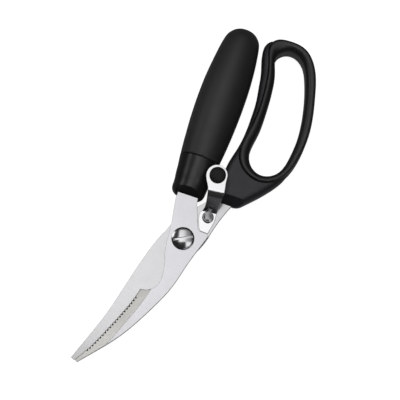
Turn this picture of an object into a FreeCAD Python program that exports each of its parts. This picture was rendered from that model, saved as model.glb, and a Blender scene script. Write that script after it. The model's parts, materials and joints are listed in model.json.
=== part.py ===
"""Spring-loaded poultry shears with a round grip, a loop handle and a hold-shut latch.

Units are millimetres. The shears lie flat: +Z is up, square to the blades, +Y runs along the
round grip away from the blades, and +X points to the loop handle. Outlines are drawn from the
pivot's axis, with height 0 on the face where the two blades meet.
"""
import FreeCAD, Part
import math
import os
import Sketcher

from FreeCAD import Placement, Rotation, Vector

DOC = FreeCAD.newDocument("PoultryShears")

SIZES = {
    # where the pivot's axis and the blades' meeting face are in the part's own frame
    "pivot_x": -7.256,
    "pivot_y": -28.054,
    "pivot_z": 11.961,
    # blades
    "blade_thickness": 3.0,
    "blade_gap": 0.05,
    "bevel_land": 0.3,
    "bolt_radius": 3.0,
    "running_gap": 0.05,
    "gullet_radius": 0.85,
    "gullet_pitch": 2.3,
    "gullet_count": 21,
    "gullet_lean": 50.0,
    "gullet_setback": 0.95,
    "gullet_cutter": 8.0,
    "tang_half_width": 4.5,
    "tang_end_y": 104.0,
    # spring pocket, spring and stop between the blades
    "spring_pocket_radius": 6.2,
    "spring_pocket_depth": 1.35,
    "spring_radius": 5.2,
    "spring_wire": 0.8,
    "spring_pitch": 0.9,
    "spring_turns": 2,
    "spring_leg": 1.0,
    "spring_leg_ratio": 0.96,
    "spring_leg_gap": 0.1,
    "stop_radius": 1.0,
    "stop_distance": 9.4,
    "stop_slot_depth": 1.2,
    "stop_clearance": 0.1,
    "stop_end_gap": 0.15,
    "stop_overtravel": 1.0,
    "opening_angle": 35.0,
    # pivot fasteners
    "head_radius": 7.6,
    "head_rim": 1.1,
    "head_dome": 1.5,
    "head_slot_width": 1.5,
    "head_slot_depth": 1.2,
    "head_slot_margin": 0.9,
    "head_slot_angle": 27.0,
    "thread_radius": 2.5,
    "thread_chamfer": 0.4,
    "thread_beyond_nut": 0.8,
    "washer_thickness": 0.8,
    "washer_radius": 4.8,
    "nut_height": 3.0,
    "nut_flats": 9.0,
    # round grip
    "grip_x": -7.3,
    "grip_z": 1.55,
    "grip_flatness": 0.83,
    "sleeve_wall": 1.8,
    "seam_y": 55.0,
    "seam_gap": 0.5,
    "collar_entry_y": 28.9,
    "collar_crest_y": 33.0,
    "collar_entry_rise": 9.4,
    "collar_entry_half_width": 7.9,
    "collar_entry_shift": 0.2,
    # loop handle
    "loop_mid_z": -1.5,
    "web_thickness": 15.0,
    "web_edge": 4.5,
    "flange_thickness": 7.0,
    "rim_thickness": 17.0,
    "rim_outer_edge": 2.3,
    "rim_inner_edge": 2.0,
    "rim_wall": 1.6,
    "core_thickness": 13.0,
    "shank_entry_x": 14.0,
    "shank_entry_y": 31.5,
    "shank_crest_y": 37.6,
    "shank_entry_half_width": 24.0,
    "overcut": 1.0,
    # latch
    "latch_x": 10.9,
    "latch_y": 19.2,
    "latch_lean": 6.0,
    "latch_strip": 1.3,
    "latch_rise": 13.6,
    "latch_incline": 56.0,
    "latch_foot": 4.9,
    "latch_foot_bend": 2.2,
    "latch_crest_bend": 6.5,
    "latch_ring_y": 26.4,
    "latch_ring_shift": 0.45,
    "latch_ring_radius": 7.0,
    "latch_bore": 2.05,
    "latch_rebate_inner": 11.7,
    "latch_rebate_depth": 1.5,
    "latch_rebate_first": -14.0,
    "latch_rebate_last": 50.0,
    "latch_blank_half_width": 20.0,
    "latch_blank_start": 14.0,
    "latch_blank_end": 40.0,
    "latch_washer_thickness": 0.3,
    "latch_washer_radius": 3.2,
    "latch_head_radius": 3.85,
    "latch_head_rim": 1.2,
    "latch_head_dome": 0.5,
    "latch_slot_width": 1.0,
    "latch_slot_depth": 0.8,
    "latch_slot_angle": 138.0,
    "button_radius": 5.45,
    "button_stem_radius": 3.0,
    "button_lip_radius": 3.8,
    "button_lip": 0.8,
    "button_rim": 1.4,
    "button_dome": 1.1,
}


def write_sheet():
    """Put every driving dimension in the spreadsheet, one row each, with its name as alias."""
    sheet = DOC.addObject("Spreadsheet::Sheet", "Sizes")
    for row, (name, value) in enumerate(SIZES.items(), start=1):
        sheet.set("A%d" % row, name)
        sheet.set("B%d" % row, str(value))
        sheet.setAlias("B%d" % row, name)
    DOC.recompute()
    return sheet


SHEET = write_sheet()


def size(name):
    """A driving dimension, read back from the spreadsheet."""
    return float(SHEET.get(name))


def bind(thing, prop, expression):
    """Bind a property to an expression in which @name stands for a cell of the sheet."""
    thing.setExpression(prop, expression.replace("@", "Sizes."))


# ---- frame, sketches and features ------------------------------------------------------------

def stand(thing, x="0", y="0", z="0", turn=None):
    """Place a thing by its offset from the pivot."""
    if turn is not None:
        thing.Placement = Placement(Vector(), turn)
    bind(thing, ".Placement.Base.x", "@pivot_x + " + x)
    bind(thing, ".Placement.Base.y", "@pivot_y + " + y)
    bind(thing, ".Placement.Base.z", "@pivot_z + " + z)
    return thing


def new_body(label):
    body = DOC.addObject("PartDesign::Body", label)
    body.Label = label
    return stand(body)


def sketch_on(body, name, height="0", plane="XY_Plane"):
    """A sketch on one of the body's own origin planes, raised by height."""
    sketch = body.newObject("Sketcher::SketchObject", name)
    origin_plane = [f for f in body.Origin.OriginFeatures if f.Role == plane][0]
    sketch.AttachmentSupport = [(origin_plane, "")]
    sketch.MapMode = "FlatFace"
    bind(sketch, ".AttachmentOffset.Base.z", height)
    return sketch


def add_circle(sketch, x, y, radius):
    """A circle whose radius is bound to an expression."""
    circle = Part.Circle(Vector(x, y, 0), Vector(0, 0, 1), 1.0)
    number = sketch.addGeometry(circle, False)
    constraint = sketch.addConstraint(Sketcher.Constraint("Radius", number, 1.0))
    bind(sketch, "Constraints[%d]" % constraint, radius)


def flat(point):
    return Vector(point[0], point[1], 0)


def add_path(sketch, start, *steps):
    """Draw a closed outline. A step is the end of a line, ("arc", middle, end), or
    ("curve", points) for a smooth curve through points, the last one its end."""
    here = start
    for step in steps:
        if step[0] == "arc":
            sketch.addGeometry(Part.Arc(flat(here), flat(step[1]), flat(step[2])), False)
            here = step[2]
        elif step[0] == "curve":
            curve = Part.BSplineCurve()
            curve.interpolate([flat(p) for p in [here] + step[1]])
            sketch.addGeometry(curve, False)
            here = step[1][-1]
        else:
            sketch.addGeometry(Part.LineSegment(flat(here), flat(step)), False)
            here = step
    if math.dist(here, start) > 1e-6:
        sketch.addGeometry(Part.LineSegment(flat(here), flat(start)), False)


def add_ring(sketch, points):
    """Draw one smooth closed curve through points."""
    curve = Part.BSplineCurve()
    curve.interpolate([flat(p) for p in points], PeriodicFlag=True)
    sketch.addGeometry(curve, False)


def pad(body, sketch, length):
    feature = body.newObject("PartDesign::Pad", sketch.Name + "_pad")
    feature.Profile = sketch
    bind(feature, "Length", length)
    return feature


def pocket(body, sketch, depth):
    """Cut from the sketch's plane down by depth."""
    DOC.recompute()
    before = body.Shape.Volume
    feature = body.newObject("PartDesign::Pocket", sketch.Name + "_cut")
    feature.Profile = sketch
    bind(feature, "Length", depth)
    DOC.recompute()
    if body.Shape.Volume > before - 1e-3:
        raise RuntimeError(feature.Name + " cut nothing")
    return feature


def revolve(body, sketch):
    """Turn a sketch in the XZ plane once round the body's own Z axis."""
    feature = body.newObject("PartDesign::Revolution", sketch.Name + "_turned")
    feature.Profile = sketch
    feature.ReferenceAxis = (sketch, ["V_Axis"])
    feature.Angle = 360.0
    return feature


def edges_at(shape, height, tolerance=1e-4):
    """Names of the edges that lie flat at a height."""
    names = []
    for number, edge in enumerate(shape.Edges, start=1):
        box = edge.BoundBox
        if abs(box.ZMin - height) < tolerance and abs(box.ZMax - height) < tolerance:
            names.append("Edge%d" % number)
    return names


def soften(body, names, radius, kind="Fillet"):
    """Fillet or chamfer edges of the body's last feature."""
    base = body.Tip
    feature = body.newObject("PartDesign::" + kind, base.Name + "_soft")
    feature.Base = (base, names)
    bind(feature, "Radius" if kind == "Fillet" else "Size", radius)
    DOC.recompute()
    return feature


def primitive(kind, name, expressions, x="0", y="0", z="0", turn=None):
    thing = DOC.addObject("Part::" + kind, name)
    for prop, expression in expressions.items():
        bind(thing, prop, expression)
    return stand(thing, x, y, z, turn)


def boolean(kind, label, first, second):
    thing = DOC.addObject("Part::" + kind, label)
    thing.Label = label
    if kind.startswith("Multi"):
        thing.Shapes = [first, second]
    else:
        thing.Base = first
        thing.Tool = second
    return thing


# ---- blades ----------------------------------------------------------------------------------

SERRATED_EDGE = [(-15.6, -40.2), (-17.3, -46.4), (-26.0, -69.0), (-36.4, -90.8), (-40.4, -97.2)]
SERRATED_TIP = (-38.2, -98.3)
FRONT_SPINE = [(-31.1, -90.2), (-18.6, -75.0), (-4.4, -50.8), (3.9, -32.1), (8.7, -13.8), (14.4, 4.1)]
SHOULDER = (15.3, 7.1)


def serrated_edge():
    """The curve of the serrated edge."""
    curve = Part.BSplineCurve()
    curve.interpolate([flat(point) for point in SERRATED_EDGE])
    return curve


def edge_x(y):
    """Where the serrated edge, which runs down in y, passes a given y."""
    curve = serrated_edge()
    low, high = curve.FirstParameter, curve.LastParameter
    for _ in range(40):
        middle = (low + high) / 2
        if curve.value(middle).y > y:
            low = middle
        else:
            high = middle
    return curve.value(low).x


def serrated_outline(sketch):
    """Outline of the front blade: edge, tip, spine, shoulder, shank, tang, heel, bone notch."""
    tang_left = size("grip_x") - size("tang_half_width")
    tang_right = size("grip_x") + size("tang_half_width")
    tang_end = size("tang_end_y")
    add_path(
        sketch, SERRATED_EDGE[0],
        ("curve", SERRATED_EDGE[1:]),
        SERRATED_TIP,
        ("curve", FRONT_SPINE + [SHOULDER]),
        ("curve", [(11.2, 8.1), (9.0, 8.2), (7.5, 9.2)]),
        ("curve", [(6.0, 12.2), (4.1, 17.8), (1.4, 24.5), (0.5, 30.0)]),
        (0.0, 40.0),
        (tang_right, 52.0),
        (tang_right, tang_end),
        (tang_left, tang_end),
        (tang_left, 46.0),
        (-13.6, 40.0),
        (-13.6, 24.0),
        ("curve", [(-12.2, 15.6), (-10.3, 4.6), (-9.5, -4.3), (-7.6, -14.8)]),
        (-6.3, -18.0),
        ("curve", [(-5.0, -25.0), (-4.7, -31.0), (-6.6, -36.2), (-11.0, -39.4), SERRATED_EDGE[0]]),
    )


def ground_edge(body, name, stations, upper):
    """Grind a bevel: a loft of triangles between the cutting edge and the bevel's far side."""
    sections = []
    land = size("bevel_land")
    thickness = size("blade_thickness")
    low = size("blade_gap") if upper else 0.0
    way = 1 if upper else -1
    for number, (y, edge_x, far_x) in enumerate(stations):
        sketch = sketch_on(body, "%s_%d" % (name, number), str(-y), "XZ_Plane")
        run = edge_x - far_x
        beyond = (edge_x + run, low + way * (2 * land - thickness))
        far = (far_x - 0.25 * run, low + way * (thickness + 0.25 * (thickness - land)))
        over = (edge_x + run, far[1])
        add_path(sketch, beyond, far, over)
        sections.append(sketch)
    DOC.recompute()
    before = body.Shape.Volume
    loft = body.newObject("PartDesign::SubtractiveLoft", name)
    loft.Profile = sections[0]
    loft.Sections = sections[1:]
    loft.Ruled = False
    DOC.recompute()
    if body.Shape.Volume > before - 1e-3:
        raise RuntimeError(name + " cut nothing")


def arc_point(radius, degrees):
    angle = math.radians(degrees)
    return (radius * math.cos(angle), radius * math.sin(angle))


def arc_slot(sketch, radius, half_width, first, last):
    """An arc-shaped slot with round ends, between two angles in degrees."""
    middle = (first + last) / 2
    cap = math.degrees(half_width / radius)
    add_path(
        sketch, arc_point(radius + half_width, first),
        ("arc", arc_point(radius + half_width, middle), arc_point(radius + half_width, last)),
        ("arc", arc_point(radius, last - cap), arc_point(radius - half_width, last)),
        ("arc", arc_point(radius - half_width, middle), arc_point(radius - half_width, first)),
        ("arc", arc_point(radius, first + cap), arc_point(radius + half_width, first)),
    )


def make_serrated_blade():
    body = new_body("serrated_blank")
    outline = sketch_on(body, "serrated_outline", "@blade_gap")
    serrated_outline(outline)
    pad(body, outline, "@blade_thickness")
    top = "@blade_gap + @blade_thickness"

    # y of the station, x of the cutting edge, x where the bevel meets the flat
    ground_edge(body, "serrated_bevel", [
        (-36.0, -13.8, -8.2),
        (-49.5, edge_x(-49.5), -11.7),
        (-60.0, edge_x(-60.0), -15.4),
        (-72.5, edge_x(-72.5), -20.3),
        (-84.0, edge_x(-84.0), -25.2),
        (-100.0, -42.0, -33.5),
    ], upper=True)

    bolt_hole = sketch_on(body, "serrated_bolt_hole", top)
    add_circle(bolt_hole, 0, 0, "@bolt_radius + @running_gap")
    pocket(body, bolt_hole, "@blade_thickness")

    spring_pocket = sketch_on(body, "serrated_spring_pocket", "@blade_gap + @spring_pocket_depth")
    add_circle(spring_pocket, 0, 0, "@spring_pocket_radius")
    pocket(body, spring_pocket, "@spring_pocket_depth")

    leg_hole = sketch_on(
        body, "serrated_leg_hole", "@blade_gap + @spring_pocket_depth + @spring_leg")
    add_circle(leg_hole, size("spring_radius"), 0, "@spring_wire / 2 + @running_gap")
    pocket(body, leg_hole, "@spring_leg")

    stop_slot = sketch_on(body, "stop_slot", "@blade_gap + @stop_slot_depth")
    arc_slot(
        stop_slot, size("stop_distance"), size("stop_radius") + size("stop_clearance"),
        -90.0, -90.0 - size("stop_overtravel") - size("opening_angle"))
    pocket(body, stop_slot, "@stop_slot_depth")

    # the latch's tongue passes under this rebate while the blade opens
    rebate = sketch_on(body, "latch_rebate", "@blade_gap + @latch_rebate_depth")
    inner = size("latch_rebate_inner")
    outer = 2 * inner
    first = size("latch_rebate_first")
    last = size("latch_rebate_last")
    middle = (first + last) / 2
    add_path(
        rebate, arc_point(inner, first),
        arc_point(outer, first),
        ("arc", arc_point(outer, middle), arc_point(outer, last)),
        arc_point(inner, last),
        ("arc", arc_point(inner, middle), arc_point(inner, first)),
    )
    pocket(body, rebate, "@latch_rebate_depth")
    return boolean("Cut", "serrated_blade", body, gullet_cutters())


def gullet_cutters():
    """A row of leaning round cutters that follows the serrated edge."""
    edge = serrated_edge()
    lean = math.radians(size("gullet_lean"))
    first = edge.parameter(flat(SERRATED_EDGE[1]))
    cutters = []
    for number in range(int(size("gullet_count"))):
        place = edge.parameterAtDistance(number * size("gullet_pitch"), first)
        centre = edge.value(place)
        along = Vector(*edge.tangent(place)[0]).normalize()
        inward = Vector(-along.y, along.x, 0)
        axis = inward * math.sin(lean) + Vector(0, 0, math.cos(lean))
        turn = Rotation(Vector(0, 0, 1), axis)
        foot = centre - inward * size("gullet_setback") - axis * (size("gullet_cutter") / 2)
        cutters.append(primitive(
            "Cylinder", "gullet_%d" % number,
            {"Radius": "@gullet_radius", "Height": "@gullet_cutter"},
            x="(%s)" % foot.x, y="(%s)" % foot.y, z="(@blade_gap + (%s))" % foot.z, turn=turn))
    row = boolean("MultiFuse", "gullet_row", cutters[0], cutters[1])
    row.Shapes = cutters
    return row


def make_plain_blade():
    body = new_body("plain_blade")
    outline = sketch_on(body, "plain_outline", "-@blade_thickness")
    add_path(
        outline, (-43.0, -96.6),
        (-41.0, -97.6),
        ("curve", [(-34.5, -91.5), (-26.5, -80.5), (-15.5, -61.0), (-7.0, -42.0), (2.0, -20.0),
                   (10.5, -6.0), (15.6, 7.4)]),
        ("curve", [(17.2, 14.5), (20.2, 24.2), (23.1, 31.4)]),
        (24.5, 38.0),
        (20.0, 48.0),
        (17.4, 62.0),
        (13.8, 62.0),
        (12.4, 46.0),
        (11.0, 36.0),
        (5.9, 28.6),
        (1.6, 23.8),
        ("curve", [(-4.0, 17.0), (-9.0, 10.5), (-12.6, 2.5)]),
        ("curve", [(-16.2, -5.7), (-19.4, -15.5), (-25.8, -40.8), (-31.6, -64.0), (-36.9, -79.5),
                   (-43.0, -96.6)]),
    )
    pad(body, outline, "@blade_thickness")

    ground_edge(body, "plain_bevel", [
        (-26.0, -0.6, -4.6),
        (-38.0, -5.2, -10.4),
        (-50.0, -10.6, -16.2),
        (-64.0, -17.0, -22.6),
        (-78.0, -24.9, -29.8),
        (-90.0, -33.4, -37.0),
        (-99.5, -43.0, -45.5),
    ], upper=False)

    bolt_hole = sketch_on(body, "plain_bolt_hole")
    add_circle(bolt_hole, 0, 0, "@bolt_radius + @running_gap")
    pocket(body, bolt_hole, "@blade_thickness")

    spring_pocket = sketch_on(body, "plain_spring_pocket")
    add_circle(spring_pocket, 0, 0, "@spring_pocket_radius")
    pocket(body, spring_pocket, "@spring_pocket_depth")

    leg_hole = sketch_on(body, "plain_leg_hole")
    add_circle(leg_hole, size("spring_radius"), 0, "@spring_wire / 2 + @running_gap")
    pocket(body, leg_hole, "@spring_pocket_depth + @spring_leg")

    pin_hole = sketch_on(body, "stop_pin_hole")
    add_circle(pin_hole, 0, -size("stop_distance"), "@stop_radius")
    pocket(body, pin_hole, "@blade_thickness")

    screw_hole = sketch_on(body, "latch_screw_hole")
    add_circle(screw_hole, size("latch_x"), size("latch_y"), "@latch_bore - @running_gap")
    pocket(body, screw_hole, "@blade_thickness")
    return body


# ---- pivot -----------------------------------------------------------------------------------

def dome(start, rim, rise, low, high):
    """Profile steps of a domed head, from its rim's foot to its top on the axis."""
    shoulder = (rim, low + high)
    sphere = (rim ** 2 + rise ** 2) / (2 * rise)
    half = math.asin(rim / sphere) / 2
    middle = (sphere * math.sin(half), low + high + rise - sphere * (1 - math.cos(half)))
    return [start, shoulder, ("arc", middle, (0, low + high + rise))]


def make_pivot_screw():
    """Slotted screw: domed head, plain bolt through both blades, thread below them."""
    body = new_body("pivot_screw")
    head_foot = size("blade_gap") + size("blade_thickness") + size("running_gap")
    bottom = (-size("blade_thickness") - size("washer_thickness") - size("nut_height")
              - size("thread_beyond_nut"))
    chamfer = size("thread_chamfer")
    profile = sketch_on(body, "screw_profile", plane="XZ_Plane")
    add_path(
        profile, (0, bottom),
        (size("thread_radius") - chamfer, bottom),
        (size("thread_radius"), bottom + chamfer),
        (size("thread_radius"), -size("blade_thickness")),
        (size("bolt_radius"), -size("blade_thickness")),
        (size("bolt_radius"), head_foot),
        *dome((size("head_radius"), head_foot), size("head_radius"), size("head_dome"), head_foot,
              size("head_rim")),
    )
    revolve(body, profile)
    DOC.recompute()
    slot = sketch_on(body, "screw_slot", "@blade_gap + @blade_thickness + @head_rim + @head_dome")
    slot_outline(slot, size("head_radius") - size("head_slot_margin"),
                 size("head_slot_width") / 2, size("head_slot_angle"))
    pocket(body, slot, "@head_slot_depth")
    return body


def slot_outline(sketch, half_length, half_width, degrees):
    """A straight slot about the sketch's origin, turned by degrees."""
    turn = Rotation(Vector(0, 0, 1), degrees)
    corners = [
        turn.multVec(Vector(a * half_length, b * half_width, 0))
        for a, b in ((-1, -1), (1, -1), (1, 1), (-1, 1))
    ]
    points = [(c.x, c.y) for c in corners]
    add_path(sketch, points[0], *points[1:])


def make_washer(label, inner, outer, thickness, x="0", y="0", z="0"):
    body = new_body(label)
    stand(body, x, y, z)
    ring = sketch_on(body, label + "_ring")
    add_circle(ring, 0, 0, outer)
    add_circle(ring, 0, 0, inner)
    pad(body, ring, thickness)
    return body


def make_pivot_nut():
    """Hexagon nut whose free face is chamfered by a cone."""
    hexagon = primitive(
        "Prism", "nut_hexagon",
        {"Circumradius": "@nut_flats / 2 / cos(30 deg)", "Height": "@nut_height"},
        z="(-@blade_thickness - @washer_thickness - @nut_height)")
    hexagon.Polygon = 6
    cone = primitive(
        "Cone", "nut_chamfer",
        {"Radius1": "@nut_flats / 2", "Radius2": "@nut_flats / 2 + @nut_height * tan(60 deg)",
         "Height": "@nut_height"},
        z="(-@blade_thickness - @washer_thickness - @nut_height)")
    bore = primitive(
        "Cylinder", "nut_bore", {"Radius": "@thread_radius", "Height": "2 * @nut_height"},
        z="(-@blade_thickness - @washer_thickness - 1.5 * @nut_height)")
    blank = boolean("MultiCommon", "nut_blank", hexagon, cone)
    return boolean("Cut", "pivot_nut", blank, bore)


def make_opening_spring():
    """Torsion coil in the blades' pockets, with one leg down and one leg up."""
    body = new_body("opening_spring")
    radius = size("spring_radius")
    wire = size("spring_wire") / 2
    pitch = size("spring_pitch")
    height = pitch * size("spring_turns")
    low = size("blade_gap") / 2 - height / 2
    section = sketch_on(body, "spring_section", plane="XZ_Plane")
    add_circle(section, radius, low, "@spring_wire / 2")
    coil = body.newObject("PartDesign::AdditiveHelix", "spring_coil")
    coil.Profile = section
    coil.ReferenceAxis = (section, ["V_Axis"])
    coil.Mode = 0
    bind(coil, "Pitch", "@spring_pitch")
    bind(coil, "Height", "@spring_pitch * @spring_turns")
    DOC.recompute()
    leg = size("spring_pocket_depth") + size("spring_leg") - size("spring_leg_gap")
    lower_leg = sketch_on(body, "spring_lower_leg", str(-leg))
    add_circle(lower_leg, radius, 0, "@spring_wire / 2 * @spring_leg_ratio")
    pad(body, lower_leg, str(leg + low))
    upper_leg = sketch_on(body, "spring_upper_leg", str(low + height))
    add_circle(upper_leg, radius, 0, "@spring_wire / 2 * @spring_leg_ratio")
    pad(body, upper_leg, str(size("blade_gap") + leg - low - height))
    return body


def make_stop_pin():
    return primitive(
        "Cylinder", "stop_pin",
        {"Radius": "@stop_radius",
         "Height": "@blade_thickness + @blade_gap + @stop_slot_depth - @stop_end_gap"},
        y="(-@stop_distance)", z="(-@blade_thickness)")


# ---- round grip ------------------------------------------------------------------------------

# y along the grip, half its width there, and how far its middle stands off the grip's axis
COLLAR = [(27.1, 8.0, 0.2), (28.1, 9.7, 0.2), (30.1, 11.05, 0.05), (34.0, 11.6, 0.1),
          (39.0, 12.1, 0.2), (44.0, 12.6, 0.2), (49.0, 13.15, 0.2), (53.5, 13.65, 0.12),
          (54.5, 13.75, 0.1)]
SLEEVE = [(55.0, 13.7, 0.1), (62.0, 14.45, 0.15), (70.0, 15.1, 0.2), (82.0, 15.85, 0.2),
          (96.0, 16.25, 0.25), (111.0, 16.05, 0.35), (125.0, 15.05, 0.5), (137.0, 13.65, 0.5),
          (145.5, 11.9, 0.55), (149.8, 9.0, 0.55), (152.0, 5.8, 0.45), (152.8, 2.6, 0.3)]


def grip_loft(name, stations, shrink=0.0):
    """Loft through oval sections square to the grip's axis."""
    turn = Rotation(Vector(1, 0, 0), 90)
    sections = []
    for number, (y, half_width, shift) in enumerate(stations):
        oval = primitive(
            "Ellipse", "%s_%d" % (name, number),
            {"MajorRadius": str(half_width - shrink),
             "MinorRadius": "%s * @grip_flatness" % (half_width - shrink)},
            x="@grip_x + (%s)" % shift, y=str(y), z="@grip_z", turn=turn)
        sections.append(oval)
    loft = DOC.addObject("Part::Loft", name)
    loft.Sections = sections
    loft.Solid = True
    loft.Ruled = False
    return loft


def entry_wedge(name, x, first_y, last_y, low, high, half_width):
    """A wedge that slopes a handle's end down to the face of the shank that enters it."""
    body = new_body(name)
    stand(body, x)
    side = sketch_on(body, name + "_side", str(-half_width), "YZ_Plane")
    reach = last_y - first_y
    rise = high - low
    add_path(
        side, (first_y - reach, low - rise),
        (last_y + reach, high + rise),
        (first_y - reach, high + rise),
    )
    pad(body, side, str(2 * half_width))
    return body


def make_grip(blade):
    """Core with its collar, moulded round the tang, and the soft sleeve over it."""
    wall = size("sleeve_wall")
    seam_low = size("seam_y") - size("seam_gap")
    inner = [(seam_low, SLEEVE[0][1], 0.0)] + [s for s in SLEEVE[1:] if s[0] < 149.0]
    collar = grip_loft("collar_loft", COLLAR)
    core_inner = grip_loft("core_loft", inner, wall)
    plain_core = boolean("MultiFuse", "core_with_collar", collar, core_inner)
    blade_top = size("blade_gap") + size("blade_thickness")
    entry_rise = size("collar_entry_rise")
    scoop = entry_wedge(
        "collar_entry", "@grip_x + @collar_entry_shift", size("collar_entry_y"),
        size("collar_crest_y"), blade_top, size("grip_z") + entry_rise,
        size("collar_entry_half_width"))
    open_core = boolean("Cut", "core_with_entry", plain_core, scoop)
    core = boolean("Cut", "grip_core", open_core, blade)
    outer = grip_loft("sleeve_loft", SLEEVE)
    sleeve = boolean("Cut", "grip_sleeve", outer, core_inner)
    return core, sleeve


# ---- loop handle -----------------------------------------------------------------------------

RIM_OUTLINE = [(16.3, 70.5), (18.0, 86.0), (19.3, 101.0), (18.4, 117.5), (14.4, 137.0),
               (12.3, 145.5), (14.0, 151.0), (24.5, 154.4), (37.4, 151.8), (45.9, 142.7),
               (53.1, 122.1), (57.4, 96.6), (56.2, 77.5), (50.5, 61.5), (43.9, 55.0),
               (36.0, 52.3), (27.5, 54.0), (19.6, 60.2)]
FINGER_HOLE = [(23.4, 69.0), (24.5, 85.0), (25.0, 99.0), (24.4, 114.1), (21.4, 131.0),
               (19.5, 141.6), (26.6, 147.5), (35.9, 144.3), (42.6, 133.0), (47.9, 114.4),
               (50.7, 92.0), (49.6, 75.5), (44.4, 61.6), (35.4, 57.7), (26.7, 61.9)]


def inset(points, distance):
    """Points moved square to a closed outline, to its right as the points run."""
    moved = []
    for number, (x, y) in enumerate(points):
        before = points[number - 1]
        after = points[(number + 1) % len(points)]
        run = Vector(after[0] - before[0], after[1] - before[1], 0).normalize()
        moved.append((x + run.y * distance, y - run.x * distance))
    return moved


def level(thickness, side):
    """Height of one face of a slab of the loop: side is 1 for its top, -1 for its underside."""
    return size("loop_mid_z") + side * size(thickness) / 2


def soften_faces(body, thickness, radius):
    """Fillet the edges of the top and the underside of a body's last pad or pocket."""
    DOC.recompute()
    shape = body.Shape.copy()
    shape.Placement = Placement()
    names = edges_at(shape, level(thickness, 1)) + edges_at(shape, level(thickness, -1))
    soften(body, names, radius)


def frame_outline(sketch):
    """Outline of the hard frame: shank end, outer edge into the rim, round the top inside it,
    and back down the side that faces the grip."""
    add_path(
        sketch, (16.0, 31.4),
        (22.8, 31.5),
        ("curve", [(26.7, 32.1), (30.9, 35.6), (37.4, 42.3), (43.5, 49.4), (48.3, 56.0),
                   (51.3, 62.0), (52.8, 68.0), (53.6, 84.0), (52.1, 110.0), (46.2, 133.0),
                   (40.0, 146.0), (27.0, 151.6), (18.0, 152.3), (13.0, 151.2)]),
        ("curve", [(9.9, 148.2), (8.9, 144.4), (9.5, 138.8), (12.3, 128.8), (14.3, 117.0),
                   (15.9, 106.0), (16.3, 95.0), (15.9, 81.0), (14.3, 70.0), (11.8, 59.0),
                   (11.0, 48.0), (11.4, 38.0), (16.0, 31.4)]),
    )


def make_loop(blade):
    """Hard frame with its web and a core inside the rim, and the soft rim moulded over it."""
    web = new_body("loop_web")
    outline = sketch_on(web, "web_outline", "@loop_mid_z - @web_thickness / 2")
    frame_outline(outline)
    pad(web, outline, "@web_thickness")
    soften_faces(web, "web_thickness", "@web_edge")
    seat = sketch_on(web, "rim_seat", "@loop_mid_z + @web_thickness / 2 + @overcut")
    add_ring(seat, RIM_OUTLINE)
    pocket(web, seat, "@web_thickness + 2 * @overcut")

    wall = size("rim_wall")
    flange = new_body("loop_flange")
    flange_outline = sketch_on(flange, "flange_outline", "@loop_mid_z - @flange_thickness / 2")
    frame_outline(flange_outline)
    pad(flange, flange_outline, "@flange_thickness")
    flange_hole = sketch_on(
        flange, "flange_hole", "@loop_mid_z + @flange_thickness / 2 + @overcut")
    add_ring(flange_hole, inset(FINGER_HOLE, -wall))
    pocket(flange, flange_hole, "@flange_thickness + 2 * @overcut")

    core = new_body("loop_core")
    core_ring = sketch_on(core, "core_ring", "@loop_mid_z - @core_thickness / 2")
    add_ring(core_ring, inset(RIM_OUTLINE, wall))
    add_ring(core_ring, inset(FINGER_HOLE, -wall))
    pad(core, core_ring, "@core_thickness")

    skeleton = boolean("MultiFuse", "loop_skeleton", flange, core)
    whole = boolean("MultiFuse", "loop_blank", web, skeleton)
    front = entry_wedge(
        "loop_front_entry", "@shank_entry_x", size("shank_entry_y"), size("shank_crest_y"),
        0.0, level("web_thickness", 1), size("shank_entry_half_width"))
    back = entry_wedge(
        "loop_back_entry", "@shank_entry_x", size("shank_entry_y"), size("shank_crest_y"),
        -size("blade_thickness"), level("web_thickness", -1), size("shank_entry_half_width"))
    open_front = boolean("Cut", "loop_with_front_entry", whole, front)
    open_frame = boolean("Cut", "loop_with_entries", open_front, back)
    frame = boolean("Cut", "loop_frame", open_frame, blade)

    roll = new_body("rim_roll")
    roll_outline = sketch_on(roll, "roll_outline", "@loop_mid_z - @rim_thickness / 2")
    add_ring(roll_outline, RIM_OUTLINE)
    pad(roll, roll_outline, "@rim_thickness")
    soften_faces(roll, "rim_thickness", "@rim_outer_edge")
    hole = sketch_on(roll, "finger_hole", "@loop_mid_z + @rim_thickness / 2 + @overcut")
    add_ring(hole, FINGER_HOLE)
    pocket(roll, hole, "@rim_thickness + 2 * @overcut")
    soften_hole(roll)
    rim = boolean("Cut", "loop_rim", roll, skeleton)
    return frame, rim


def soften_hole(body):
    """Fillet the two edges round the finger hole."""
    DOC.recompute()
    shape = body.Shape.copy()
    shape.Placement = Placement()
    names = []
    for side in (1, -1):
        flat_edges = edges_at(shape, level("rim_thickness", side))
        lengths = {name: shape.getElement(name).Length for name in flat_edges}
        names.append(min(lengths, key=lengths.get))
    soften(body, names, "@rim_inner_edge")


# ---- latch -----------------------------------------------------------------------------------

def latch_body(label):
    """A body whose origin is the latch screw's axis, turned so that +Y runs along the strap."""
    body = DOC.addObject("PartDesign::Body", label)
    body.Label = label
    turn = Rotation(Vector(0, 0, 1), size("latch_lean"))
    return stand(body, "@latch_x", "@latch_y", turn=turn)


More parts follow.
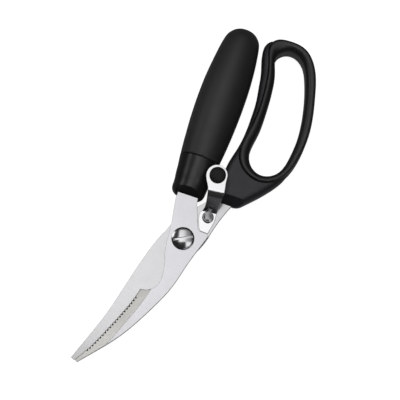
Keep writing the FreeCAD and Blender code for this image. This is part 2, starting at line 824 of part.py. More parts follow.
def make_latch_lever():
    """Bent strip: the strip's side view and its plan, each padded, and what they share."""
    strip = latch_body("latch_strip_side")
    side = sketch_on(strip, "latch_side", "-@latch_blank_half_width", "YZ_Plane")
    low = size("blade_gap")
    thick = size("latch_strip")
    rise = size("latch_rise")
    incline = math.radians(size("latch_incline"))
    foot = size("latch_foot")
    crest = foot + (rise - low) / math.tan(incline)
    shift = thick * math.tan(incline / 2)
    start = -size("latch_blank_start")
    end = size("latch_blank_end")
    add_path(
        side, (start, low),
        (foot, low),
        (crest, rise),
        (end, rise),
        (end, rise + thick),
        (crest - shift, rise + thick),
        (foot - shift, low + thick),
        (start, low + thick),
    )
    pad(strip, side, "2 * @latch_blank_half_width")
    DOC.recompute()
    halfway = (low + rise + thick) / 2
    soften(strip, bend_edges(strip, low, halfway), "@latch_foot_bend")
    DOC.recompute()
    soften(strip, bend_edges(strip, halfway, rise + thick), "@latch_crest_bend")

    plan = latch_body("latch_plan")
    sketch = sketch_on(plan, "latch_outline", "-@overcut")
    ring_y = size("latch_ring_y")
    ring = size("latch_ring_radius")
    add_path(
        sketch, (-3.1, -9.9),
        (2.2, -10.8),
        ("curve", [(2.9, -8.4), (3.8, -5.6), (4.8, -1.8), (5.0, 2.0), (5.2, 5.0), (6.2, 9.5),
                   (7.2, 14.0), (7.15, 19.0), (ring, ring_y)]),
        ("arc", (0, ring_y + ring), (-ring, ring_y)),
        ("curve", [(-5.4, 20.4), (-3.9, 16.8), (-3.4, 13.0), (-3.2, 9.5), (-3.7, 5.6),
                   (-5.4, 2.6), (-6.0, -0.6), (-5.3, -4.4), (-4.3, -7.8), (-3.1, -9.9)]),
    )
    add_circle(sketch, 0, 0, "@latch_bore")
    add_circle(sketch, size("latch_ring_shift"), ring_y, "@button_stem_radius")
    pad(plan, sketch, "@latch_rise + @latch_strip + 2 * @overcut")
    return boolean("MultiCommon", "latch_lever", strip, plan)


def bend_edges(body, low, high):
    """The sharp edges across the strip where it bends, between two heights."""
    shape = body.Shape.copy()
    shape.Placement = Placement()
    names = []
    for number, edge in enumerate(shape.Edges, start=1):
        box = edge.BoundBox
        across = box.YLength < 1e-4 and box.ZLength < 1e-4
        inside = -size("latch_blank_start") + 1 < box.YMin < size("latch_blank_end") - 1
        level_edge = low - 1e-4 < box.ZMin < high + 1e-4
        if across and inside and level_edge:
            names.append("Edge%d" % number)
    return names


def make_latch_screw():
    body = new_body("latch_screw")
    stand(body, "@latch_x", "@latch_y")
    foot = (size("blade_gap") + size("latch_strip") + size("running_gap")
            + size("latch_washer_thickness"))
    radius = size("latch_bore") - size("running_gap")
    head = size("latch_head_radius")
    rim = size("latch_head_rim")
    rise = size("latch_head_dome")
    profile = sketch_on(body, "latch_screw_profile", plane="XZ_Plane")
    add_path(
        profile, (0, -size("blade_thickness")),
        (radius, -size("blade_thickness")),
        (radius, foot),
        *dome((head, foot), head, rise, foot, rim),
    )
    revolve(body, profile)
    DOC.recompute()
    slot = sketch_on(body, "latch_screw_slot", str(foot + rim + rise))
    slot_outline(slot, head + size("overcut"), size("latch_slot_width") / 2,
                 size("latch_slot_angle"))
    pocket(body, slot, "@latch_slot_depth")
    return body


def make_latch_button():
    """Domed thumb button, snapped through the lever's ring."""
    body = latch_body("latch_button")
    profile = sketch_on(body, "button_profile", plane="XZ_Plane")
    low = size("latch_rise")
    top = low + size("latch_strip")
    stem = size("button_stem_radius")
    add_path(
        profile, (0, low - size("button_lip")),
        (stem, low - size("button_lip")),
        (size("button_lip_radius"), low),
        (stem, low),
        (stem, top),
        *dome((size("button_radius"), top), size("button_radius"), size("button_dome"), top,
              size("button_rim")),
    )
    revolve(body, profile)
    turn = Rotation(Vector(0, 0, 1), size("latch_lean"))
    reach = turn.multVec(Vector(size("latch_ring_shift"), size("latch_ring_y"), 0))
    stand(body, "@latch_x + (%s)" % reach.x, "@latch_y + (%s)" % reach.y, turn=turn)
    return body


# ---- assembly --------------------------------------------------------------------------------

def check_and_export(nodes):
    DOC.recompute()
    for thing in DOC.Objects:
        if "Invalid" in thing.State or "Error" in thing.State:
            raise RuntimeError("%s failed: %s" % (thing.Name, thing.State))
    os.makedirs("parts", exist_ok=True)
    whole = FreeCAD.BoundBox()
    for node in nodes:
        shape = node.Shape
        if shape.isNull() or not shape.isValid():
            raise RuntimeError(node.Label + " has no valid shape")
        whole.add(shape.BoundBox)
        print("%-20s solids %d  volume %.1f" % (node.Label, len(shape.Solids), shape.Volume))
        shape.exportStep("parts/%s.step" % node.Label)
    print("whole", whole)


def main():
    serrated = make_serrated_blade()
    plain = make_plain_blade()
    core, sleeve = make_grip(serrated)
    frame, rim = make_loop(plain)
    nodes = [
        serrated,
        plain,
        make_pivot_screw(),
        make_pivot_nut(),
        make_washer("pivot_lock_washer", "@thread_radius + @running_gap", "@washer_radius",
                    "@washer_thickness", z="(-@blade_thickness - @washer_thickness)"),
        make_opening_spring(),
        make_stop_pin(),
        core,
        sleeve,
        frame,
        rim,
        make_latch_lever(),
        make_latch_screw(),
        make_washer("latch_washer", "@latch_bore", "@latch_washer_radius",
                    "@latch_washer_thickness", "@latch_x", "@latch_y",
                    "(@blade_gap + @latch_strip + @running_gap)"),
        make_latch_button(),
    ]
    check_and_export(nodes)


main()
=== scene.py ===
# Poultry shears: looks, floor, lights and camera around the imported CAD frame.
# Outlines are in millimetres from the pivot's axis, with height 0 where the blades meet.
import json
import math

import bmesh
import bpy
import numpy as np
from mathutils import Matrix, Vector


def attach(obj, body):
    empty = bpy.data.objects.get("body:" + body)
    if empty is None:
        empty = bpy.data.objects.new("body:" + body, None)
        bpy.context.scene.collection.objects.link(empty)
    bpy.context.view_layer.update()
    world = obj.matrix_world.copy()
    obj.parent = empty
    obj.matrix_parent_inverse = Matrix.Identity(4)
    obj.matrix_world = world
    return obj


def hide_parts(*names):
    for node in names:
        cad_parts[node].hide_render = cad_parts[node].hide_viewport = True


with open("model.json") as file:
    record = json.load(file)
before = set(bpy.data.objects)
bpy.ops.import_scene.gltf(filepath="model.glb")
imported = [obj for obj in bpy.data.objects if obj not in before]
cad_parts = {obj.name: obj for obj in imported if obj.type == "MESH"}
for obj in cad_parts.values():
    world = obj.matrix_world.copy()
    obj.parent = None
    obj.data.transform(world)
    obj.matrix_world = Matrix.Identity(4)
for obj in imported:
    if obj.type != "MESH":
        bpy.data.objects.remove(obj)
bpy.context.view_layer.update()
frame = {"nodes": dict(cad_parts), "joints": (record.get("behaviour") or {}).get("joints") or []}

MM = 0.001
NODES = frame["nodes"]
JOINTS = {joint["name"]: joint for joint in frame["joints"]}
PIVOT = Vector(JOINTS["blade_pivot"]["pos_m"])
LATCH_AXIS = (Vector(JOINTS["latch_swing"]["pos_m"]) - PIVOT) / MM


def at(x, y, z):
    """A point in the row frame from its millimetres off the pivot."""
    return PIVOT + Vector((x, y, z)) * MM


# ---- camera ----------------------------------------------------------------------------------

AZIMUTH = math.radians(19.0)
TILT = math.radians(12.5)
DISTANCE = 0.650
AIM = at(1.94, 29.01, 0.0)
SENSOR = 36.0
LENS = 87.31
RIGHT = Vector((math.cos(AZIMUTH), math.sin(AZIMUTH), 0))
AWAY = Vector((-math.sin(AZIMUTH), math.cos(AZIMUTH), 0))


def make_camera():
    back = Vector((0, 0, 1)) * math.cos(TILT) - AWAY * math.sin(TILT)
    up = AWAY * math.cos(TILT) + Vector((0, 0, 1)) * math.sin(TILT)
    camera = bpy.data.objects.new("camera", bpy.data.cameras.new("camera"))
    camera.data.sensor_width = SENSOR
    camera.data.lens = LENS
    camera.data.clip_start = 0.01
    turn = Matrix((RIGHT, up, back)).transposed().to_4x4()
    camera.matrix_world = Matrix.Translation(AIM + back * DISTANCE) @ turn
    bpy.context.scene.collection.objects.link(camera)
    bpy.context.scene.camera = camera


# ---- materials -------------------------------------------------------------------------------

class Finish:
    """A procedural material: a Principled shader and the nodes that feed it."""

    def __init__(self, name, color, roughness, metallic=0.0, **sockets):
        self.material = bpy.data.materials.new(name)
        self.material.use_nodes = True
        self.tree = self.material.node_tree
        self.shader = self.tree.nodes["Principled BSDF"]
        self.place = self.add("ShaderNodeTexCoord").outputs["Object"]
        self.set(self.shader, {"Base Color": (*color, 1.0), "Roughness": roughness,
                               "Metallic": metallic, **sockets})

    def add(self, kind, inputs=None, **settings):
        node = self.tree.nodes.new(kind)
        for key, value in settings.items():
            setattr(node, key, value)
        self.set(node, inputs or {})
        return node

    def set(self, node, inputs):
        for key, value in inputs.items():
            if isinstance(value, bpy.types.NodeSocket):
                self.tree.links.new(value, node.inputs[key])
            else:
                node.inputs[key].default_value = value

    def noise(self, size, detail=3.0, roughness=0.55, stretch=(1, 1, 1), turn=0.0):
        """Noise whose grain is size metres across, drawn out along a turned frame's axes."""
        scale = tuple(1.0 / (size * s) for s in stretch)
        turned = self.add("ShaderNodeMapping", {"Vector": self.place,
                                                "Rotation": (0, 0, -turn)})
        scaled = self.add("ShaderNodeMapping", {"Vector": turned.outputs[0], "Scale": scale})
        return self.add("ShaderNodeTexNoise", {
            "Vector": scaled.outputs[0], "Scale": 1.0, "Detail": detail,
            "Roughness": roughness}).outputs["Fac"]

    def span(self, value, low, high, start=0.3, end=0.7):
        """Map a noise value to a range."""
        return self.add("ShaderNodeMapRange", {
            "Value": value, "From Min": start, "From Max": end,
            "To Min": low, "To Max": high}).outputs["Result"]

    def tint(self, value, low, high, start=0.3, end=0.7):
        """Mix two colours by a noise value."""
        mix = self.add("ShaderNodeMix", data_type="RGBA")
        self.tree.links.new(self.span(value, 0.0, 1.0, start, end), mix.inputs[0])
        mix.inputs[6].default_value = (*low, 1.0)
        mix.inputs[7].default_value = (*high, 1.0)
        return mix.outputs[2]

    def bump(self, height, depth, radius=0.0):
        """Bump of a depth in metres over the shape, whose corners may be rounded off."""
        inputs = {"Height": height, "Distance": depth, "Strength": 1.0}
        if radius:
            inputs["Normal"] = self.add(
                "ShaderNodeBevel", {"Radius": radius}, samples=6).outputs[0]
        self.set(self.shader, {"Normal": self.add("ShaderNodeBump", inputs).outputs[0]})


STEEL_GRAIN = 0.00012
STEEL_GRAIN_DEPTH = 2e-6


def steel(name, light, dark, turn, rough=(0.17, 0.25), radius=0.00035):
    """Satin steel with a fine grain across the blade and faint clouding."""
    finish = Finish(name, light, rough[0], metallic=1.0)
    lines = finish.noise(STEEL_GRAIN, 4.0, 0.6, stretch=(60, 1, 1), turn=turn)
    cloud = finish.noise(0.012, 3.0)
    finish.set(finish.shader, {
        "Base Color": finish.tint(cloud, dark, light),
        "Roughness": finish.span(lines, rough[0], rough[1])})
    finish.bump(lines, STEEL_GRAIN_DEPTH, radius)
    return finish.material


def polish(name, color, rough=(0.04, 0.09), radius=0.0002):
    """Bright polished steel with hairline swirls."""
    finish = Finish(name, color, rough[0], metallic=1.0)
    hair = finish.noise(0.0004, 4.0, 0.65, stretch=(12, 1, 1), turn=0.6)
    finish.set(finish.shader, {"Roughness": finish.span(hair, rough[0], rough[1], 0.4, 0.75)})
    finish.bump(hair, 4e-7, radius)
    return finish.material


def moulded(name, color, lighter, rough, grain, depth, radius=0.0, **sockets):
    """Moulded plastic or rubber: fine spark-eroded texture and faint uneven sheen."""
    finish = Finish(name, color, rough[0], **sockets)
    texture = finish.noise(grain, 2.0, 0.5)
    cloud = finish.noise(0.009, 3.0)
    finish.set(finish.shader, {
        "Base Color": finish.tint(cloud, color, lighter),
        "Roughness": finish.span(cloud, rough[0], rough[1])})
    finish.bump(texture, depth, radius)
    return finish.material


ACROSS_SERRATED = math.radians(-23.0)
ACROSS_PLAIN = math.radians(-20.0)
STEEL_LIGHT = (0.72, 0.715, 0.745)
STEEL_DARK = (0.69, 0.685, 0.71)

MATERIALS = {
    "serrated_flat": steel("serrated_flat", STEEL_LIGHT, STEEL_DARK, ACROSS_SERRATED),
    "plain_flat": steel("plain_flat", (0.69, 0.69, 0.70), (0.66, 0.66, 0.67), ACROSS_PLAIN),
    "ground_bevel": steel("ground_bevel", (0.85, 0.84, 0.80), (0.78, 0.77, 0.74),
                          ACROSS_SERRATED, rough=(0.26, 0.36), radius=0.0006),
    # gullet walls: the blade steel painted near-black, painted shade in the deep scallops
    "gullet_painted_shade": steel("gullet_painted_shade", (0.10, 0.10, 0.10), (0.06, 0.06, 0.062),
                         ACROSS_SERRATED, rough=(0.4, 0.6)),
    # cut edges: the blade steel painted darker, painted edge shade
    "cut_edge_painted_shade": steel("cut_edge_painted_shade", (0.42, 0.42, 0.44), (0.36, 0.36, 0.38), 0.0,
                      rough=(0.3, 0.5)),
    "pivot_polish": polish("pivot_polish", (0.74, 0.74, 0.75), rough=(0.15, 0.20), radius=0.0),
    # latch screw: polished steel painted dark grey, painted shade in place of dark reflections
    "screw_polish_painted_shade": polish("screw_polish_painted_shade", (0.34, 0.34, 0.35), rough=(0.14, 0.20), radius=0.0),
    "lever_polish": polish("lever_polish", (0.93, 0.93, 0.94), rough=(0.16, 0.22),
                           radius=0.0004),
    "hidden_steel": steel("hidden_steel", (0.55, 0.55, 0.56), (0.45, 0.45, 0.46), 0.3),
    "sleeve_rubber": moulded("sleeve_rubber", (0.032, 0.032, 0.0335), (0.036, 0.036, 0.0375),
                             (0.46, 0.52), 0.00018, 6e-6, **{"Specular IOR Level": 1.0}),
    "rim_rubber": moulded("rim_rubber", (0.024, 0.024, 0.025), (0.027, 0.027, 0.028),
                          (0.36, 0.42), 0.00018, 3e-6, **{"Specular IOR Level": 0.85}),
    "core_plastic": moulded("core_plastic", (0.016, 0.016, 0.0165), (0.018, 0.018, 0.0185),
                            (0.29, 0.34), 0.0002, 1e-6, radius=0.0004,
                            **{"Specular IOR Level": 0.75}),
    "frame_plastic": moulded("frame_plastic", (0.018, 0.018, 0.020), (0.022, 0.022, 0.024),
                             (0.44, 0.50), 0.00022, 8e-6, radius=0.0004,
                             **{"Specular IOR Level": 1.0,
                                "Specular Tint": (0.95, 0.95, 1.0, 1)}),
    "button_plastic": moulded("button_plastic", (0.012, 0.012, 0.0125), (0.016, 0.016, 0.0165),
                              (0.50, 0.58), 0.0002, 6e-6),
}


def paint(name, *materials, choose=None):
    """Give a CAD node its finishes; choose picks one for each face."""
    mesh = NODES[name].data
    mesh.materials.clear()
    for material in materials:
        mesh.materials.append(MATERIALS[material])
    if choose:
        for face in mesh.polygons:
            face.material_index = choose(face)


# ---- meshes ----------------------------------------------------------------------------------

def closed_spline(points, count):
    """Points on the smooth closed curve through points, evenly spread over its parameter."""
    knots = np.array(points, float)
    ahead = np.roll(knots, -1, axis=0)
    steps = np.linalg.norm(ahead - knots, axis=1)
    number = len(knots)
    system = np.zeros((number, number))
    sides = np.zeros_like(knots)
    for i in range(number):
        before, after = steps[i - 1], steps[i]
        system[i, i - 1] += before
        system[i, i] += 2 * (before + after)
        system[i, (i + 1) % number] += after
        sides[i] = 6 * ((ahead[i] - knots[i]) / after - (knots[i] - knots[i - 1]) / before)
    bends = np.linalg.solve(system, sides)
    next_bends = np.roll(bends, -1, axis=0)
    starts = np.concatenate([[0], np.cumsum(steps)])
    curve = []
    for place in np.linspace(0, starts[-1], count, endpoint=False):
        i = min(int(np.searchsorted(starts, place, side="right")) - 1, number - 1)
        step = steps[i]
        a = (starts[i + 1] - place) / step
        b = 1 - a
        curve.append(a * knots[i] + b * ahead[i]
                     + ((a ** 3 - a) * bends[i] + (b ** 3 - b) * next_bends[i]) * step ** 2 / 6)
    return np.array(curve)


def open_spline(points, per_span):
    """Points on a Catmull-Rom curve through points of any dimension."""
    knots = [np.array(p, float) for p in points]
    knots = [2 * knots[0] - knots[1]] + knots + [2 * knots[-1] - knots[-2]]
    curve = []
    for a, b, c, d in zip(knots, knots[1:], knots[2:], knots[3:]):
        for t in np.linspace(0, 1, per_span, endpoint=False):
            curve.append(0.5 * (2 * b + (c - a) * t + (2 * a - 5 * b + 4 * c - d) * t ** 2
                                + (3 * b - a - 3 * c + d) * t ** 3))
    curve.append(knots[-2])
    return curve


def finish_piece(name, bm, material, body, replaced, sharp=None):
    """Turn a bmesh into a piece that rides on a body and stands for CAD nodes."""
    bmesh.ops.recalc_face_normals(bm, faces=bm.faces)
    mesh = bpy.data.meshes.new(name)
    bm.to_mesh(mesh)
    bm.free()
    mesh.shade_smooth()
    if sharp is not None:
        mesh.set_sharp_from_angle(angle=math.radians(sharp))
    mesh.materials.append(MATERIALS[material])
    piece = bpy.data.objects.new(name, mesh)
    bpy.context.scene.collection.objects.link(piece)
    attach(piece, body)
    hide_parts(*replaced)
    return piece


def loft(bm, rings, closed_along=False, caps=False):
    """Skin rings of equal count with quads; caps fills the first and the last ring."""
    rows = [[bm.verts.new(at(*point)) for point in ring] for ring in rings]
    pairs = list(zip(rows, rows[1:]))
    if closed_along:
        pairs.append((rows[-1], rows[0]))
    for row, following in pairs:
        for i in range(len(row)):
            j = (i + 1) % len(row)
            bm.faces.new((row[i], row[j], following[j], following[i]))
    if caps:
        bm.faces.new(rows[0])
        bm.faces.new(list(reversed(rows[-1])))
    return rows


def quarter(steps, exponent=2.0):
    """Pairs that run from (0, 0) to (1, 1) round a quarter of a superellipse: across, up."""
    power = 2.0 / exponent
    angles = [math.pi / 2 * i / steps for i in range(steps + 1)]
    return [(1 - math.cos(a) ** power, math.sin(a) ** power) for a in angles]


# ---- round grip ------------------------------------------------------------------------------

GRIP_X = -7.3
GRIP_Z = 1.55
GRIP_FLATNESS = 0.83
SLEEVE = [(55.0, 13.7, 0.1), (62.0, 14.45, 0.15), (70.0, 15.1, 0.2), (82.0, 15.85, 0.2),
          (96.0, 16.25, 0.25), (111.0, 16.05, 0.35), (125.0, 15.05, 0.5), (137.0, 13.65, 0.5),
          (145.5, 11.9, 0.55), (149.8, 9.0, 0.55), (152.0, 5.8, 0.45), (152.8, 2.6, 0.3)]
SLEEVE_WALL = 1.8


def oval(y, half_width, shift, count=72):
    ring = []
    for i in range(count):
        angle = 2 * math.pi * i / count
        ring.append((GRIP_X + shift + half_width * math.cos(angle), y,
                     GRIP_Z + half_width * GRIP_FLATNESS * math.sin(angle)))
    return ring


def make_sleeve():
    """Soft sleeve: rounded lip at the seam, full belly, domed end, and its inside."""
    skin = open_spline(SLEEVE, 6)
    first = SLEEVE[0][1]
    shift = SLEEVE[0][2]
    lip = [(54.98, first - 0.75, shift), (55.02, first - 0.42, shift),
           (55.16, first - 0.16, shift), (55.42, first - 0.02, shift)]
    outside = lip + [tuple(s) for s in skin if s[0] > 55.8] + [(152.9, 1.1, 0.3)]
    inside = [(s[0], s[1] - SLEEVE_WALL, s[2]) for s in SLEEVE if s[0] < 149.0]
    rings = [oval(*s) for s in reversed(inside)] + [oval(*s) for s in outside]
    bm = bmesh.new()
    loft(bm, rings, caps=True)
    finish_piece("sleeve_skin", bm, "sleeve_rubber", "grip_side", ["grip_sleeve"],
                 sharp=50)


# ---- loop handle -----------------------------------------------------------------------------

RIM_OUTLINE = [(16.3, 70.5), (18.0, 86.0), (19.3, 101.0), (18.4, 117.5), (14.4, 137.0),
               (12.3, 145.5), (14.0, 151.0), (24.5, 154.4), (37.4, 151.8), (45.9, 142.7),
               (53.1, 122.1), (57.4, 96.6), (56.2, 77.5), (50.5, 61.5), (43.9, 55.0),
               (36.0, 52.3), (27.5, 54.0), (19.6, 60.2)]
FINGER_HOLE = [(23.4, 69.0), (24.5, 85.0), (25.0, 99.0), (24.4, 114.1), (21.4, 131.0),
               (19.5, 141.6), (26.6, 147.5), (35.9, 144.3), (42.6, 133.0), (47.9, 114.4),
               (50.7, 92.0), (49.6, 75.5), (44.4, 61.6), (35.4, 57.7), (26.7, 61.9)]
RIM_TOP = 7.0
RIM_BOTTOM = -10.0
RIM_INSET = 0.12
CREST = 0.30
OUTER_DROP = 2.6
INNER_DROP = 4.7


def rim_section():
    """The roll's section: share of the width from outside to inside, and height."""
    outer = quarter(8, 2.2)
    inner = quarter(9, 2.1)
    top = [(CREST * u, RIM_TOP - OUTER_DROP * (1 - v)) for u, v in outer]
    top += [(1 - (1 - CREST) * u, RIM_TOP - INNER_DROP * (1 - v))
            for u, v in reversed(inner[:-1])]
    middle = (RIM_TOP + RIM_BOTTOM) / 2
    bottom = [(u, 2 * middle - z) for u, z in reversed(top)]
    inner_wall = [(1.0, middle + 2.5), (1.0, middle - 2.5)]
    outer_wall = [(0.0, middle - 2.5), (0.0, middle + 2.5)]
    return top + inner_wall + bottom + outer_wall


def make_rim():
    """Soft roll round the finger hole, swept between its outline and the hole."""
    outline = closed_spline(RIM_OUTLINE, 260)
    hole = closed_spline(FINGER_HOLE, 1600)
    section = rim_section()
    rings = []
    for point in outline:
        nearest = hole[np.argmin(np.linalg.norm(hole - point, axis=1))]
        across = nearest - point
        start = point + across / np.linalg.norm(across) * RIM_INSET
        across = nearest - start
        rings.append([(*(start + across * u), z) for u, z in section])
    bm = bmesh.new()
    loft(bm, rings, closed_along=True)
    finish_piece("rim_roll", bm, "rim_rubber", "loop_side", ["loop_rim"])


# ---- screws, latch and button ----------------------------------------------------------------

def turned(bm, profile, centre, count=96):
    """Turn a profile of (radius, height) pairs round the Z axis; it starts and ends on it."""
    rings = []
    for radius, height in profile[1:-1]:
        rings.append([(centre[0] + radius * math.cos(2 * math.pi * i / count),
                       centre[1] + radius * math.sin(2 * math.pi * i / count), height)
                      for i in range(count)])
    rows = loft(bm, rings)
    for row, height in ((rows[0], profile[0][1]), (rows[-1], profile[-1][1])):
        pole = bm.verts.new(at(centre[0], centre[1], height))
        for i in range(count):
            bm.faces.new((row[i], row[(i + 1) % count], pole))


def dome_profile(rim, foot, shoulder, rise, rounding=0.25):
    """A screw head's profile from under its rim to its crown."""
    sphere = (rim ** 2 + rise ** 2) / (2 * rise)
    points = [(rim, foot), (rim, shoulder - rounding)]
    points += [(rim - rounding * u, shoulder - rounding * (1 - v)) for u, v in quarter(4)[1:]]
    for i in range(1, 15):
        radius = (rim - rounding) * (1 - i / 15)
        points.append((radius, shoulder + math.sqrt(sphere ** 2 - radius ** 2)
                       - (sphere - rise)))
    points.append((0, shoulder + rise))
    return points


def cut_slot(piece, centre, size, height, degrees):
    """Cut a straight slot into a screw's head and shade it smooth, keeping the slot's edges
    sharp.
    """
    bm = bmesh.new()
    bmesh.ops.create_cube(bm, size=1.0)
    cutter = bpy.data.objects.new("cutter", bpy.data.meshes.new("cutter"))
    bm.to_mesh(cutter.data)
    bm.free()
    bpy.context.scene.collection.objects.link(cutter)
    turn = Matrix.Rotation(math.radians(degrees), 4, "Z")
    scale = Matrix.Diagonal((size[0] * MM, size[1] * MM, size[2] * MM, 1))
    cutter.matrix_world = Matrix.Translation(at(*centre, height)) @ turn @ scale
    modifier = piece.modifiers.new("slot", "BOOLEAN")
    modifier.object = cutter
    modifier.operation = "DIFFERENCE"
    modifier.solver = "EXACT"
    bpy.context.view_layer.update()
    evaluated = piece.evaluated_get(bpy.context.evaluated_depsgraph_get())
    mesh = bpy.data.meshes.new_from_object(evaluated)
    piece.modifiers.clear()
    piece.data = mesh
    bpy.data.objects.remove(cutter)
    mesh.shade_smooth()
    mesh.set_sharp_from_angle(angle=math.radians(28))


def make_pivot_screw():
    """Domed and slotted head, plain bolt, and a threaded end with its chamfer."""
    bolt, thread, bottom = 3.0, 2.5, -7.6
    profile = [(0, bottom), (1.3, bottom), (thread - 0.4, bottom), (thread, bottom + 0.4)]
    for turn in range(10):
        height = bottom + 0.5 + 0.4 * turn
        profile += [(thread, height), (thread - 0.22, height + 0.2)]
    profile += [(thread, -3.0), (bolt, -3.0), (bolt, 3.1)]
    profile += dome_profile(7.6, 3.1, 4.2, 1.5)
    bm = bmesh.new()
    turned(bm, profile, (0, 0))
    piece = finish_piece("pivot_screw_turned", bm, "pivot_polish", "loop_side",
                         ["pivot_screw"])
    cut_slot(piece, (0, 0), (13.4, 1.5, 2.4), 5.75, 27.0)


def make_latch_screw():
    """Small cheese-head screw with a chamfered rim and a slot right across."""
    x, y = LATCH_AXIS.x, LATCH_AXIS.y
    foot = 1.75
    profile = [(0, -2.95), (1.6, -2.95), (2.0, -2.6), (2.0, foot)]
    profile += [(3.85, foot), (3.85, 2.55), (3.72, 2.75), (3.5, 2.9), (3.1, 3.0), (2.9, 2.99),
                (2.75, 3.03), (2.2, 3.15), (1.2, 3.3), (0.5, 3.36), (0, 3.37)]
    bm = bmesh.new()
    turned(bm, profile, (x, y), 72)
    piece = finish_piece("latch_screw_turned", bm, "screw_polish_painted_shade", "loop_side",
                         ["latch_screw"])
    cut_slot(piece, (x, y), (9.0, 1.0, 1.8), 3.4, 138.0)


LEAN = math.radians(6.0)
RING = (0.45, 26.4)
RING_LOW = 13.6
RING_TOP = 14.9
BUTTON_RADIUS = 5.45


def latch_at(x, y):
    """A point of the latch, whose own Y axis runs along the strap."""
    return (LATCH_AXIS.x + x * math.cos(LEAN) - y * math.sin(LEAN),
            LATCH_AXIS.y + x * math.sin(LEAN) + y * math.cos(LEAN))


def make_button():
    """Thumb button: low dome over a shadow gap, stem through the ring, and its snap lip."""
    rim = BUTTON_RADIUS
    profile = [(0, RING_LOW - 0.8), (3.0, RING_LOW - 0.8), (3.4, RING_LOW - 0.5),
               (3.7, RING_LOW - 0.02), (3.0, RING_LOW + 0.05), (3.0, RING_TOP),
               (rim - 0.5, RING_TOP + 0.02), (rim - 0.15, RING_TOP + 0.15),
               (rim, RING_TOP + 0.45), (rim, RING_TOP + 1.1), (rim - 0.15, RING_TOP + 1.4),
               (rim - 0.5, RING_TOP + 1.68), (rim - 1.2, RING_TOP + 1.95),
               (rim - 2.2, RING_TOP + 2.2), (2.0, RING_TOP + 2.38), (1.0, RING_TOP + 2.47),
               (0, RING_TOP + 2.5)]
    bm = bmesh.new()
    turned(bm, profile, latch_at(*RING), 64)
    finish_piece("button_dome", bm, "button_plastic", "latch", ["latch_button"])


# ---- floor and lights ------------------------------------------------------------------------

FLOOR_HALF = 3.0
FLOOR_GAP = 0.0002
FLOOR_GLOW = 0.92


def make_floor():
    """White floor; what shines shows the dimmer lower world instead of it."""
    finish = Finish("floor", (0.85, 0.85, 0.85), 0.7)
    finish.set(finish.shader, {"Emission Color": (1, 1, 1, 1),
                               "Emission Strength": FLOOR_GLOW})
    bm = bmesh.new()
    bmesh.ops.create_grid(bm, x_segments=1, y_segments=1, size=FLOOR_HALF)
    mesh = bpy.data.meshes.new("floor")
    bm.to_mesh(mesh)
    bm.free()
    mesh.materials.append(finish.material)
    floor = bpy.data.objects.new("floor", mesh)
    floor.location.z = -FLOOR_GAP
    floor.visible_glossy = False
    bpy.context.scene.collection.objects.link(floor)


def ramp(tree, value, stops):
    """Piecewise straight curve through (position, value) stops, values up to 1."""
    node = tree.nodes.new("ShaderNodeValToRGB")
    tree.links.new(value, node.inputs[0])
    while len(node.color_ramp.elements) < len(stops):
        node.color_ramp.elements.new(0.5)
    for element, (position, level) in zip(node.color_ramp.elements, stops):
        element.position = position
        element.color = (level, level, level, 1.0)
    return node.outputs["Color"]


PANEL_HEIGHT = 0.80


def softbox(name, right, away, radiance, across=None, along=None):
    """A level panel over the table, spanning metres of the picture's right and upward
    directions; across and along shade it by (place, level) stops."""
    light = bpy.data.lights.new(name, "AREA")
    light.shape = "RECTANGLE"
    light.size, light.size_y = right[1] - right[0], away[1] - away[0]
    light.energy = radiance * math.pi * light.size * light.size_y
    if across or along:
        light.use_nodes = True
        tree = light.node_tree
        spread = tree.nodes.new("ShaderNodeNewGeometry").outputs["Parametric"]
        parts = tree.nodes.new("ShaderNodeSeparateXYZ")
        tree.links.new(spread, parts.inputs[0])
        shade = tree.nodes.new("ShaderNodeMath")
        shade.operation = "MULTIPLY"
        for i, (stops, (low, high)) in enumerate(((across, right), (along, away))):
            scaled = [((place - low) / (high - low), level) for place, level in stops]
            tree.links.new(ramp(tree, parts.outputs[i], scaled), shade.inputs[i])
        tree.links.new(shade.outputs[0], tree.nodes["Emission"].inputs["Strength"])
    lamp = bpy.data.objects.new(name, light)
    centre = RIGHT * (sum(right) / 2) + AWAY * (sum(away) / 2)
    lamp.location = Vector((AIM.x, AIM.y, PANEL_HEIGHT)) + centre
    lamp.rotation_euler = Matrix((RIGHT, AWAY, Vector((0, 0, 1)))).transposed().to_euler()
    bpy.context.scene.collection.objects.link(lamp)


# brightness of the room by the upward part of the direction: dim below, where it stands for the
# table in reflections, and darker above, apart from the panels
WORLD = [(-1.0, 0.16), (-0.8, 0.14), (-0.5, 0.08), (0.0, 0.05), (0.15, 0.02), (1.0, 0.02)]


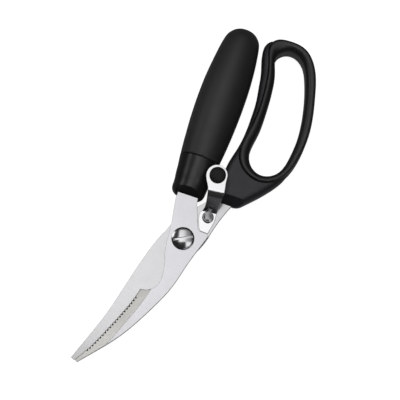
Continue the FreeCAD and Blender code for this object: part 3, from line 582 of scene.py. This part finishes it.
def make_lights():
    softbox("softbox_main", (-0.28, 0.50), (-0.10, 0.70), 1.3,
            across=[(-0.28, 0.0), (-0.22, 0.92), (-0.14, 0.95), (-0.05, 0.83), (0.0, 0.82),
                    (0.035, 0.80), (0.10, 0.62), (0.18, 0.42), (0.26, 0.28), (0.50, 0.14)],
            along=[(-0.10, 1.0), (0.12, 1.0), (0.28, 0.86), (0.70, 0.86)])
    softbox("softbox_side", (0.14, 0.50), (-0.39, -0.05), 1.1)
    softbox("softbox_left", (-1.05, -0.62), (0.28, 0.78), 1.6)
    softbox("softbox_front", (0.06, 0.46), (-0.77, -0.52), 0.35)
    world = bpy.data.worlds.new("world")
    bpy.context.scene.world = world
    world.use_nodes = True
    tree = world.node_tree
    direction = tree.nodes.new("ShaderNodeTexCoord").outputs["Generated"]
    parts = tree.nodes.new("ShaderNodeSeparateXYZ")
    tree.links.new(direction, parts.inputs[0])
    level = tree.nodes.new("ShaderNodeMapRange")
    tree.links.new(parts.outputs["Z"], level.inputs["Value"])
    level.inputs["From Min"].default_value = -1.0
    shade = ramp(tree, level.outputs["Result"], [((z + 1) / 2, value) for z, value in WORLD])
    background = tree.nodes["Background"]
    background.inputs["Color"].default_value = (0.95, 0.96, 1.0, 1.0)
    tree.links.new(shade, background.inputs["Strength"])


# ---- assembly --------------------------------------------------------------------------------

# least upward part of a face's normal, by what the face is
LEVEL = 0.99
BEVEL_LEAN = 0.88
GULLET_LEAN = 0.05
REAR_BEVEL_LEAN = 0.5


def serrated_face(face):
    """0 flat, 1 ground bevel, 2 gullet wall (steel painted near-black as shade), 3 cut edge
    (steel painted darker as shade).
    """
    up = face.normal.z
    if abs(up) > LEVEL:
        return 0
    if up > BEVEL_LEAN:
        return 1
    if up > GULLET_LEAN:
        return 2
    return 3


def plain_face(face):
    """0 flat, 1 ground bevel, 2 cut edge (steel painted darker as shade)."""
    up = face.normal.z
    if abs(up) > LEVEL:
        return 0
    return 1 if up < -REAR_BEVEL_LEAN else 2


def main():
    make_camera()
    paint("serrated_blade", "serrated_flat", "ground_bevel", "gullet_painted_shade", "cut_edge_painted_shade",
          choose=serrated_face)
    paint("plain_blade", "plain_flat", "ground_bevel", "cut_edge_painted_shade", choose=plain_face)
    for name in ("pivot_nut", "pivot_lock_washer", "opening_spring", "stop_pin",
                 "latch_washer"):
        paint(name, "hidden_steel")
    paint("latch_lever", "lever_polish")
    paint("grip_core", "core_plastic")
    paint("loop_frame", "frame_plastic")
    make_sleeve()
    make_rim()
    make_pivot_screw()
    make_latch_screw()
    make_button()
    make_floor()
    make_lights()
    scene = bpy.context.scene
    scene.view_settings.view_transform = "Standard"
    scene.cycles.use_denoising = True


main()
